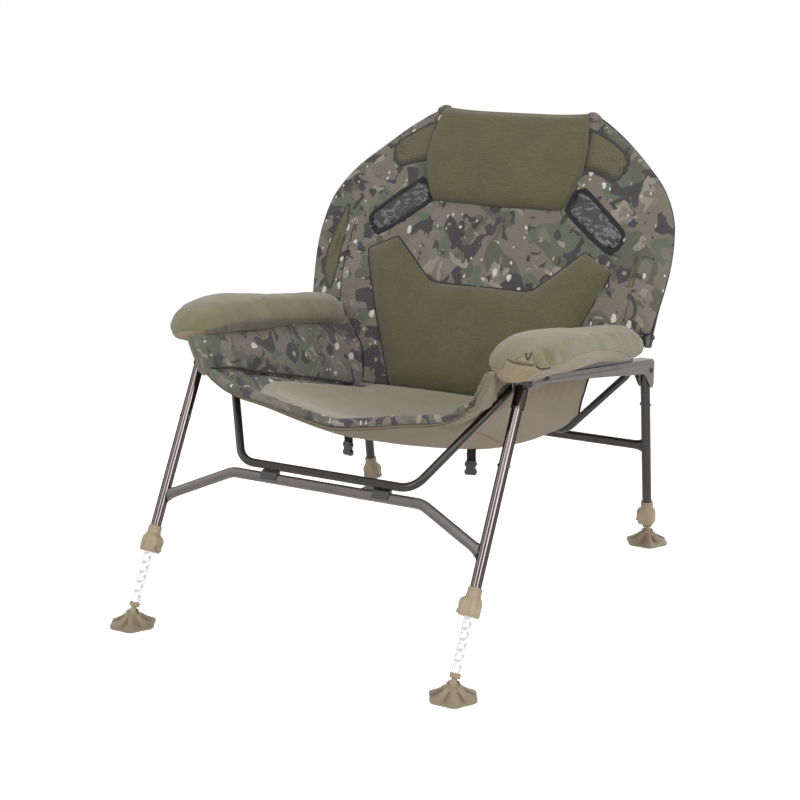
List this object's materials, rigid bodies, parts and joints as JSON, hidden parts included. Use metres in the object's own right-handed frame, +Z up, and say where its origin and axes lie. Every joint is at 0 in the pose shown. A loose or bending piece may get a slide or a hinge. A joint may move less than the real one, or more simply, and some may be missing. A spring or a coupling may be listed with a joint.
{
  "type": "folding carp fishing chair",
  "caption": "Low folding chair with a hung padded bucket seat, padded arms, a high padded back, folding leg frames, sliding legs and swivelling mud feet.",
  "frame": {"origin": "on the floor, midway between the foremost and rearmost points, on the plane of symmetry", "axes": "+Z up, -Y is the way the sitter faces, +X is the sitter's left"},
  "size_m": [0.84, 1.0146, 0.9115],
  "materials": {
    "gunmetal": "glossy gunmetal paint",
    "dark_frame": "satin dark grey paint",
    "rail": "pale gunmetal paint",
    "bright": "bright drawn tube",
    "tan_plastic": "moulded",
    "black_plastic": "moulded",
    "camo": "printed woven fabric",
    "olive": "brushed twill",
    "suede": "suede-like fabric",
    "tan_fabric": "plain woven fabric",
    "webbing": "woven webbing"
  },
  "bodies": {
    "seat_frame": {"front_seat_tube": "dark_frame", "rear_seat_tube": "dark_frame", "seat_shell": "tan_fabric", "seat_pad": "olive", "arm_rail_left": "rail", "arm_plate_left": "dark_frame", "arm_pad_left": "suede", "front_pivot_bolt_left": "black_plastic", "front_tube_bolt_left": "black_plastic", "rear_pivot_bolt_left": "black_plastic", "back_pivot_bolt_left": "black_plastic", "tube_saddle_left": "black_plastic", "strap_left": "webbing", "buckle_left": "black_plastic", "arm_rail_right": "rail", "arm_plate_right": "dark_frame", "arm_pad_right": "suede", "front_pivot_bolt_right": "black_plastic", "front_tube_bolt_right": "black_plastic", "rear_pivot_bolt_right": "black_plastic", "back_pivot_bolt_right": "black_plastic", "tube_saddle_right": "black_plastic", "strap_right": "webbing", "buckle_right": "black_plastic"},
    "front_leg_frame": {"front_crossbar": "dark_frame", "front_leg_left": "gunmetal", "front_leg_pin_left": "dark_frame", "front_collar_left": "tan_plastic", "front_leg_sleeve_left": "gunmetal", "front_leg_right": "gunmetal", "front_leg_pin_right": "dark_frame", "front_collar_right": "tan_plastic", "front_leg_sleeve_right": "gunmetal"},
    "rear_leg_frame": {"rear_crossbar": "dark_frame", "rear_leg_left": "gunmetal", "rear_leg_pin_left": "dark_frame", "rear_collar_left": "tan_plastic", "rear_leg_right": "gunmetal", "rear_leg_pin_right": "dark_frame", "rear_collar_right": "tan_plastic"},
    "back": {"back_shell": "camo", "back_hoop": "dark_frame", "lumbar_pad": "olive", "headrest": "olive"},
    "front_left_inner_leg": {"front_inner_leg_left": "bright"},
    "front_left_lever": {"front_lever_left": "tan_plastic"},
    "front_left_stem": {"front_ball_stem_left": "tan_plastic"},
    "front_left_foot": {"front_foot_left": "tan_plastic"},
    "front_right_inner_leg": {"front_inner_leg_right": "bright"},
    "front_right_lever": {"front_lever_right": "tan_plastic"},
    "front_right_stem": {"front_ball_stem_right": "tan_plastic"},
    "front_right_foot": {"front_foot_right": "tan_plastic"},
    "rear_left_inner_leg": {"rear_inner_leg_left": "bright"},
    "rear_left_lever": {"rear_lever_left": "tan_plastic"},
    "rear_left_stem": {"rear_ball_stem_left": "tan_plastic"},
    "rear_left_foot": {"rear_foot_left": "tan_plastic"},
    "rear_right_inner_leg": {"rear_inner_leg_right": "bright"},
    "rear_right_lever": {"rear_lever_right": "tan_plastic"},
    "rear_right_stem": {"rear_ball_stem_right": "tan_plastic"},
    "rear_right_foot": {"rear_foot_right": "tan_plastic"}
  },
  "joints": [
    {"name": "front_legs_fold", "type": "hinge", "parent": "seat_frame", "child": "front_leg_frame", "pos_m": [0, -0.20177, 0.499], "axis": [1, 0, 0], "range_deg": [0, 100], "deforming": ["seat_shell", "seat_pad", "strap_left", "strap_right", "buckle_left", "buckle_right"]},
    {"name": "rear_legs_fold", "type": "hinge", "parent": "seat_frame", "child": "rear_leg_frame", "pos_m": [0, 0.40423, 0.396], "axis": [-1, 0, 0], "range_deg": [0, 62]},
    {"name": "back_fold", "type": "hinge", "parent": "seat_frame", "child": "back", "pos_m": [0, 0.29223, 0.492], "axis": [1, 0, 0], "range_deg": [0, 86]},
    {"name": "front_left_leg_slide", "type": "slide", "parent": "front_leg_frame", "child": "front_left_inner_leg", "axis": [0, 0.4848, 0.8746], "range_m": [-0.1, 0.099]},
    {"name": "front_left_lever_swing", "type": "hinge", "parent": "front_leg_frame", "child": "front_left_lever", "pos_m": [0.3245, -0.39119, 0.15728], "axis": [0, 0.8746, -0.4848], "range_deg": [0, 22], "stiffness_Nm_per_rad": 0.05, "springref_deg": -11.46},
    {"name": "front_left_foot_swivel", "type": "hinge", "parent": "front_left_inner_leg", "child": "front_left_stem", "pos_m": [0.343, -0.46396, 0.026], "axis": [0, 0.4848, 0.8746], "continuous": true},
    {"name": "front_left_foot_tilt", "type": "hinge", "parent": "front_left_stem", "child": "front_left_foot", "pos_m": [0.343, -0.46396, 0.026], "axis": [-1, 0, 0], "range_deg": [0, 58]},
    {"name": "front_right_leg_slide", "type": "slide", "parent": "front_leg_frame", "child": "front_right_inner_leg", "axis": [0, 0.4848, 0.8746], "range_m": [-0.1, 0.099]},
    {"name": "front_right_lever_swing", "type": "hinge", "parent": "front_leg_frame", "child": "front_right_lever", "pos_m": [-0.3245, -0.39119, 0.15728], "axis": [0, -0.8746, 0.4848], "range_deg": [0, 22], "stiffness_Nm_per_rad": 0.05, "springref_deg": -11.46},
    {"name": "front_right_foot_swivel", "type": "hinge", "parent": "front_right_inner_leg", "child": "front_right_stem", "pos_m": [-0.343, -0.46396, 0.026], "axis": [0, 0.4848, 0.8746], "continuous": true},
    {"name": "front_right_foot_tilt", "type": "hinge", "parent": "front_right_stem", "child": "front_right_foot", "pos_m": [-0.343, -0.46396, 0.026], "axis": [-1, 0, 0], "range_deg": [0, 58]},
    {"name": "rear_left_leg_slide", "type": "slide", "parent": "rear_leg_frame", "child": "rear_left_inner_leg", "axis": [0, -0.1347, 0.9909], "range_m": [-0.199, 0]},
    {"name": "rear_left_lever_swing", "type": "hinge", "parent": "rear_leg_frame", "child": "rear_left_lever", "pos_m": [0.3245, 0.44764, 0.07663], "axis": [0, 0.9909, 0.1347], "range_deg": [0, 22], "stiffness_Nm_per_rad": 0.05, "springref_deg": -11.46},
    {"name": "rear_left_foot_swivel", "type": "hinge", "parent": "rear_left_inner_leg", "child": "rear_left_stem", "pos_m": [0.343, 0.45452, 0.026], "axis": [0, -0.1347, 0.9909], "continuous": true},
    {"name": "rear_left_foot_tilt", "type": "hinge", "parent": "rear_left_stem", "child": "rear_left_foot", "pos_m": [0.343, 0.45452, 0.026], "axis": [-1, 0, 0], "range_deg": [-36.5, 21]},
    {"name": "rear_right_leg_slide", "type": "slide", "parent": "rear_leg_frame", "child": "rear_right_inner_leg", "axis": [0, -0.1347, 0.9909], "range_m": [-0.199, 0]},
    {"name": "rear_right_lever_swing", "type": "hinge", "parent": "rear_leg_frame", "child": "rear_right_lever", "pos_m": [-0.3245, 0.44764, 0.07663], "axis": [0, -0.9909, -0.1347], "range_deg": [0, 22], "stiffness_Nm_per_rad": 0.05, "springref_deg": -11.46},
    {"name": "rear_right_foot_swivel", "type": "hinge", "parent": "rear_right_inner_leg", "child": "rear_right_stem", "pos_m": [-0.343, 0.45452, 0.026], "axis": [0, -0.1347, 0.9909], "continuous": true},
    {"name": "rear_right_foot_tilt", "type": "hinge", "parent": "rear_right_stem", "child": "rear_right_foot", "pos_m": [-0.343, 0.45452, 0.026], "axis": [-1, 0, 0], "range_deg": [-36.5, 21]}
  ]
}
